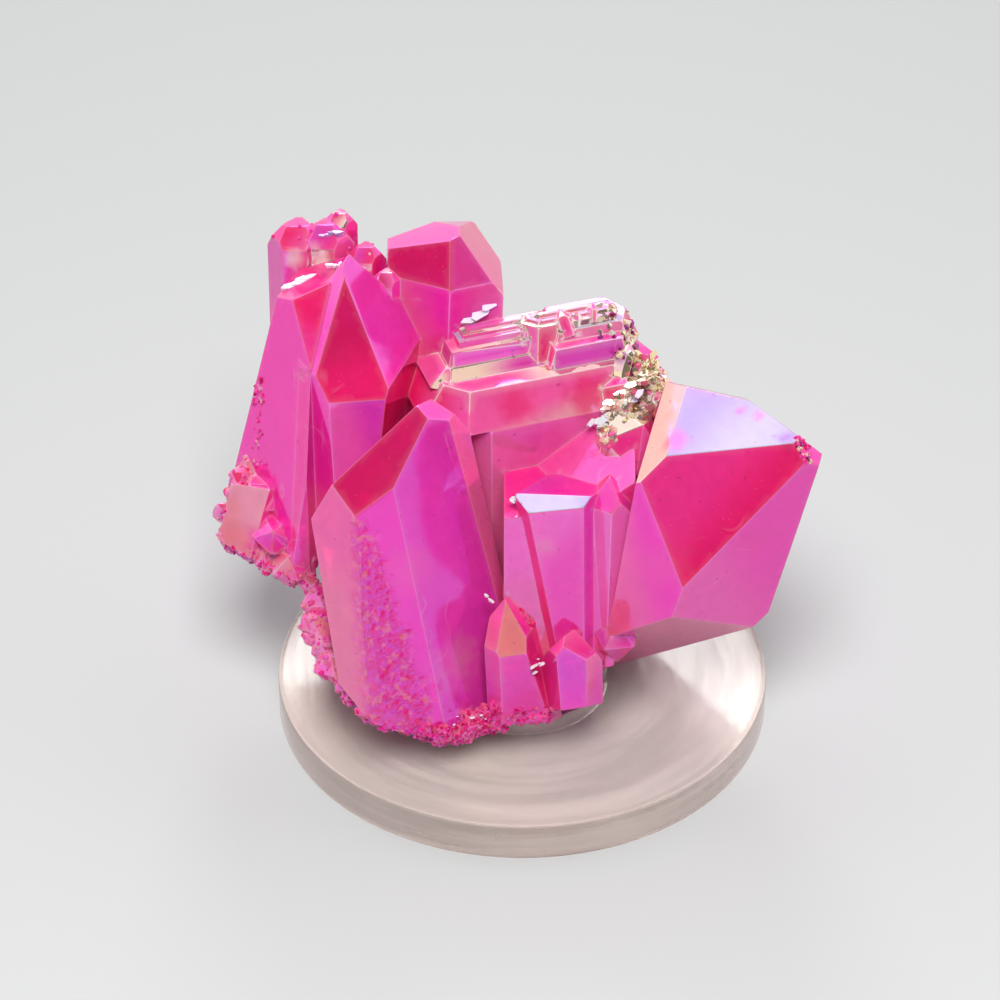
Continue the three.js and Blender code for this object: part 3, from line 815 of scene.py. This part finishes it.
def grow_grains(pieces, rng, points, triangles, facets, table):
    """Grains on the crusts, more of them on larger triangles, pointing out of the surface."""
    corners = points[triangles]
    middles = corners.mean(1)
    cross = np.cross(corners[:, 1] - corners[:, 0], corners[:, 2] - corners[:, 0])
    areas = np.linalg.norm(cross, axis=1) / 2
    normals = cross / np.maximum(2 * areas[:, None], 1e-18)
    small = table["area"][facets] < 2 * SMALL_FACE
    for crust in CRUSTS:
        if not crust["grains"]:
            continue
        near = distance_to_line(middles, crust["line"]) < 0.9 * crust["reach"] * MM
        spots = np.flatnonzero(near & (small | crust.get("large", False)))
        for number in rng.choice(spots, crust["grains"], p=areas[spots] / areas[spots].sum()):
            radius = rng.uniform(*GRAIN_RADIUS) * crust.get("size", 1) * MM
            length = radius * rng.uniform(*GRAIN_LENGTH)
            axis = Vector(normals[number] + rng.normal(0, GRAIN_LEAN, 3)).normalized()
            middle = Vector(middles[number]) - axis * length * GRAIN_SUNK
            piece = grain(middle, axis, radius, length, rng.uniform(0, math.pi))
            name = crust["colours"][rng.integers(0, len(crust["colours"]))]
            pieces.add(piece, np.clip(np.array(PALETTE[name]) * rng.uniform(*GRAIN_SHADE), 0, 1))


def lay_flakes(pieces, rng):
    for start, end, count, size, stray, name, facing in FLAKES:
        start, end = metres(start), metres(end)
        along = (end - start).normalized()
        for k in range(count):
            middle = start.lerp(end, (k + 0.5) / count) + Vector(rng.normal(0, stray, 3)) * MM
            pieces.add(flake(middle, along, size * MM * rng.uniform(*FLAKE_SIZE), facing, rng), PALETTE[name])


def build_grains(points, triangles, facets, table):
    """The glittering grains and flakes, in one piece."""
    rng = np.random.default_rng(GRAIN_SEED)
    pieces = Pieces()
    grow_grains(pieces, rng, points, triangles, facets, table)
    lay_flakes(pieces, rng)
    grains = mesh_object("druse_grains", pieces.points, pieces.triangles)
    set_corner_colours(grains.data, "coating", pieces.colours)
    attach(grains, "root")
    return grains


# ---- the display disc and its hub ---------------------------------------------------------------------

def outer_size(node):
    """A round CAD node's radius and top, in millimetres."""
    points = [v.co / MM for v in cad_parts[node].data.vertices]
    return round(max(p.x for p in points), 2), round(max(p.z for p in points), 2)


DISC_RADIUS, DISC_TOP = outer_size("display_disc")
HUB_RADIUS, HUB_TOP = outer_size("metal_hub")
HOLE_RADIUS = HUB_RADIUS + 0.3
DISC_EDGE = 0.35              # radius of the rounding along the disc's edges
HUB_EDGE = 0.3
CORNER_STEPS = 5
DISC_SEGMENTS = 240
HUB_SEGMENTS = 180

# The faint rings on top: how far they stay from the edges, how far apart their points are, and half their
# depth, in millimetres.
DISC_RINGS = (0.6, 0.4, 0.004)
HUB_RINGS = (0.5, 0.25, 0.006)


def rounded(profile, corners, radius):
    """Replaces the numbered corners of a closed outline with small arcs."""
    points = [Vector(p) for p in profile]
    out = []
    for number, corner in enumerate(points):
        if number not in corners:
            out.append(corner)
            continue
        before = (points[number - 1] - corner).normalized() * radius
        after = (points[(number + 1) % len(points)] - corner).normalized() * radius
        for k in range(CORNER_STEPS + 1):
            angle = k / CORNER_STEPS * math.pi / 2
            out.append(corner + before * (1 - math.sin(angle)) + after * (1 - math.cos(angle)))
    return out


def turned(name, profile, segments):
    """A body turned round the Z axis from a closed outline of (radius, height) in millimetres."""
    ring = np.array([(p[0], p[1]) for p in profile]) * MM
    turns = np.arange(segments) * 2 * math.pi / segments
    points = np.stack([
        np.outer(np.cos(turns), ring[:, 0]), np.outer(np.sin(turns), ring[:, 0]),
        np.tile(ring[:, 1], (segments, 1)),
    ], axis=-1).reshape(-1, 3)
    count = len(ring)
    faces = []
    for s in range(segments):
        n = (s + 1) % segments
        for k in range(count):
            m = (k + 1) % count
            faces.append((s * count + k, n * count + k, n * count + m, s * count + m))
    made = mesh_object(name, points, faces)
    bm = bmesh.new()
    bm.from_mesh(made.data)
    bmesh.ops.remove_doubles(bm, verts=bm.verts, dist=1e-7)
    bmesh.ops.recalc_face_normals(bm, faces=bm.faces)
    for face in bm.faces:
        face.smooth = True
    bm.to_mesh(made.data)
    bm.free()
    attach(made, "root")
    return made


def build_disc():
    margin, step, depth = DISC_RINGS
    rings = np.arange(HOLE_RADIUS + margin, DISC_RADIUS - margin, step)
    top = [(r, DISC_TOP - depth * (1 + math.sin(r * 5.3) * math.sin(r * 1.7))) for r in reversed(rings)]
    under = [(r, 0) for r in rings[::6]]
    wall = [(DISC_RADIUS, 0), (DISC_RADIUS, DISC_TOP)]
    outline = [(HOLE_RADIUS, 0), *under, *wall, *top, (HOLE_RADIUS, DISC_TOP)]
    outer = len(under) + 1
    corners = {0, outer, outer + 1, len(outline) - 1}
    disc = turned("acrylic_disc", rounded(outline, corners, DISC_EDGE), DISC_SEGMENTS)
    disc.visible_shadow = False          # light passes through clear plastic
    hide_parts("display_disc")
    return disc


def build_hub():
    margin, step, depth = HUB_RINGS
    rings = np.arange(margin, HUB_RADIUS - margin, step)
    top = [(r, HUB_TOP - depth * (1 + math.sin(r * 9))) for r in reversed(rings)]
    outline = [(0, 0), (HUB_RADIUS, 0), (HUB_RADIUS, HUB_TOP), *top, (0, HUB_TOP)]
    hub = turned("steel_hub", rounded(outline, {1, 2}, HUB_EDGE), HUB_SEGMENTS)
    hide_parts("metal_hub")
    return hub


# ---- materials ----------------------------------------------------------------------------------------

COATING_MARKS = {"speck": (0.95, 0.40, 0.40), "dark_spot": (0.45, 0.01, 0.08), "fissure": (0.98, 0.42, 0.55)}
SPECKLE = {"violet": (0.80, 0.05, 0.42), "crimson": (0.86, 0.01, 0.13), "peach": (0.90, 0.24, 0.16)}
# outer and rim are paler tints, painted light along the disc's edge
ACRYLIC = {"clear": (0.77, 0.675, 0.615), "hazy": (0.73, 0.635, 0.61),
           "outer": (0.88, 0.78, 0.72), "rim": (0.97, 0.82, 0.76)}
STEEL = {"light": (0.46, 0.45, 0.43), "dark": (0.30, 0.29, 0.28)}
ROUND_STRETCH = 0.002         # how fast the coordinates of a turned surface change round its axis


class Nodes:
    """A new material with a Principled shader, and short ways to add nodes to it."""

    def __init__(self, name):
        self.material = bpy.data.materials.new(name)
        self.material.use_nodes = True
        self.tree = self.material.node_tree
        self.shader = self.tree.nodes["Principled BSDF"]
        self.place = self.tree.nodes.new("ShaderNodeTexCoord").outputs["Object"]

    def set(self, **values):
        for name, value in values.items():
            self.shader.inputs[name.replace("_", " ")].default_value = value

    def link(self, output, name):
        self.tree.links.new(output, self.shader.inputs[name])

    def noise(self, scale, detail=2, place=None):
        node = self.tree.nodes.new("ShaderNodeTexNoise")
        node.inputs["Scale"].default_value = scale
        node.inputs["Detail"].default_value = detail
        self.tree.links.new(place or self.place, node.inputs["Vector"])
        return node.outputs["Fac"]

    def ranged(self, value, low, high, to_low, to_high):
        node = self.tree.nodes.new("ShaderNodeMapRange")
        for name, number in zip(("From Min", "From Max", "To Min", "To Max"), (low, high, to_low, to_high)):
            node.inputs[name].default_value = number
        self.tree.links.new(value, node.inputs["Value"])
        return node.outputs["Result"]

    def attribute(self, name):
        node = self.tree.nodes.new("ShaderNodeVertexColor")
        node.layer_name = name
        return node.outputs["Color"]

    def maths(self, operation, one, two):
        node = self.tree.nodes.new("ShaderNodeMath")
        node.operation = operation
        self.tree.links.new(one, node.inputs[0])
        self.tree.links.new(two, node.inputs[1])
        return node.outputs[0]

    def times(self, one, two):
        return self.maths("MULTIPLY", one, two)

    def mix(self, factor, one, two):
        node = self.tree.nodes.new("ShaderNodeMix")
        node.data_type = "RGBA"
        self.tree.links.new(factor, node.inputs["Factor"])
        for socket, value in ((node.inputs[6], one), (node.inputs[7], two)):
            if isinstance(value, tuple):
                socket.default_value = (*value, 1)
            else:
                self.tree.links.new(value, socket)
        return node.outputs[2]

    def bump(self, height, strength, distance):
        node = self.tree.nodes.new("ShaderNodeBump")
        node.inputs["Strength"].default_value = strength
        node.inputs["Distance"].default_value = distance
        self.tree.links.new(height, node.inputs["Height"])
        self.link(node.outputs["Normal"], "Normal")

    def vector_math(self, operation, one, two=None):
        node = self.tree.nodes.new("ShaderNodeVectorMath")
        node.operation = operation
        self.tree.links.new(one, node.inputs[0])
        if isinstance(two, tuple):
            node.inputs[1].default_value = two
        elif two is not None:
            self.tree.links.new(two, node.inputs[1])
        return node.outputs["Value" if operation == "LENGTH" else "Vector"]

    def round_z(self):
        """For turned surfaces: coordinates that change fast away from the Z axis and up it, and slowly round
        it. Also the distance from the axis."""
        flat = self.vector_math("MULTIPLY", self.place, (1, 1, 0))
        radius = self.vector_math("LENGTH", flat)
        unit = self.vector_math("NORMALIZE", flat)
        turn = self.vector_math("MULTIPLY", unit, (ROUND_STRETCH, ROUND_STRETCH, 0))
        height = self.tree.nodes.new("ShaderNodeSeparateXYZ")
        self.tree.links.new(self.place, height.inputs[0])
        up = self.tree.nodes.new("ShaderNodeCombineXYZ")
        self.tree.links.new(self.maths("ADD", radius, height.outputs["Z"]), up.inputs["Z"])
        return self.vector_math("ADD", turn, up.outputs[0]), radius


def coating_colour(nodes, coating):
    """The coating's colour with pale specks, small dark crimson spots, and thin pale fissures in some places.
    """
    specks = nodes.ranged(nodes.noise(2600), 0.68, 0.76, 0, 0.2)
    colour = nodes.mix(specks, coating, COATING_MARKS["speck"])
    dark_spots = nodes.ranged(nodes.noise(1300), 0.69, 0.75, 0, 0.5)
    colour = nodes.mix(dark_spots, colour, COATING_MARKS["dark_spot"])
    streak = nodes.noise(95)
    fissure = nodes.times(nodes.ranged(streak, 0.484, 0.5, 0, 1), nodes.ranged(streak, 0.5, 0.503, 1, 0))
    fissure = nodes.times(fissure, nodes.ranged(nodes.noise(150, 1), 0.58, 0.68, 0, 0.3))
    return nodes.mix(fissure, colour, COATING_MARKS["fissure"])


def speckle_colour(nodes, fine):
    """The granular band's colour: violet, crimson and peach in small grains."""
    colour = nodes.mix(nodes.ranged(fine, 0.42, 0.56, 0, 1), SPECKLE["violet"], SPECKLE["crimson"])
    return nodes.mix(nodes.ranged(nodes.noise(1000, 4), 0.54, 0.64, 0, 0.8), colour, SPECKLE["peach"])


def golden_share(nodes, coating):
    """How metallic the coating is: where it is gold or cream, and not where it is white, so that the white
    painted glints stay white.
    """
    channels = nodes.tree.nodes.new("ShaderNodeSeparateColor")
    nodes.tree.links.new(coating, channels.inputs[0])
    golden = nodes.ranged(channels.outputs["Green"], 0.79, 0.83, 0, 0.85)
    return nodes.times(golden, nodes.ranged(channels.outputs["Blue"], 0.78, 0.9, 1, 0))


def quartz_material():
    nodes = Nodes("aura_quartz")
    nodes.set(IOR=1.55, Transmission_Weight=0.3, Thin_Film_Thickness=236, Thin_Film_IOR=2.4)
    coating = nodes.attribute("coating")
    fine = nodes.noise(1500, 4)
    granular_share = nodes.ranged(nodes.attribute("granular"), 0, 1, 0, 0.8)
    colour = nodes.mix(granular_share, coating_colour(nodes, coating), speckle_colour(nodes, fine))
    nodes.link(colour, "Base Color")
    nodes.link(nodes.ranged(nodes.noise(420, 3), 0.35, 0.75, 0.06, 0.16), "Roughness")
    nodes.link(golden_share(nodes, coating), "Metallic")
    nodes.bump(nodes.times(fine, granular_share), 0.8, 0.4 * MM)
    return nodes.material


def acrylic_material():
    """Clear plastic with faint haze and rings, painted paler towards its outer edge and on it: painted light
    for the bright band and rim that the clear plastic shows there.
    """
    nodes = Nodes("acrylic")
    nodes.set(IOR=1.49, Specular_IOR_Level=0.25)
    around, radius = nodes.round_z()
    outer = nodes.ranged(radius, (DISC_RADIUS - 4.5) * MM, (DISC_RADIUS - 3) * MM, 0, 0.5)
    rim = ((DISC_RADIUS - 0.5) * MM, (DISC_RADIUS - 0.1) * MM)
    tint = nodes.mix(nodes.ranged(nodes.noise(60, 3), 0.35, 0.7, 0, 1), ACRYLIC["clear"], ACRYLIC["hazy"])
    # painted light: paler towards the outer edge and paler still on the rim
    tint = nodes.mix(outer, tint, ACRYLIC["outer"])
    tint = nodes.mix(nodes.ranged(radius, *rim, 0, 0.8), tint, ACRYLIC["rim"])
    nodes.link(tint, "Base Color")
    rings = nodes.ranged(nodes.noise(380, 2, around), 0.42, 0.58, 0.92, 0.8)
    nodes.link(nodes.times(rings, nodes.ranged(radius, *rim, 1, 0.84)), "Transmission Weight")
    nodes.link(nodes.ranged(nodes.noise(900, 3, around), 0.4, 0.7, 0.12, 0.24), "Roughness")
    return nodes.material


def steel_material():
    """Polished steel with fine turning marks."""
    nodes = Nodes("steel")
    nodes.set(Metallic=1.0)
    turning = nodes.noise(1600, 3, nodes.round_z()[0])
    nodes.link(nodes.mix(nodes.ranged(turning, 0.4, 0.7, 0, 1), STEEL["light"], STEEL["dark"]), "Base Color")
    nodes.link(nodes.ranged(turning, 0.4, 0.7, 0.10, 0.26), "Roughness")
    nodes.bump(turning, 0.6, 0.02 * MM)
    return nodes.material


def floor_material():
    nodes = Nodes("floor")
    nodes.set(Roughness=0.8)
    specks = nodes.ranged(nodes.noise(700, 4), 0.66, 0.72, 0, 0.5)
    nodes.link(nodes.mix(specks, FLOOR_GREY, FLOOR_SPECKS), "Base Color")
    return nodes.material


# ---- the scene ----------------------------------------------------------------------------------------

bpy.context.scene.view_settings.view_transform = "Standard"
make_camera()
make_world()
for lamp in LAMPS:
    area_light(*lamp)
make_floor()
quartz = quartz_material()
cluster, *surface = build_cluster()
cluster.data.materials.append(quartz)
build_grains(*surface).data.materials.append(quartz)
build_disc().data.materials.append(acrylic_material())
build_hub().data.materials.append(steel_material())
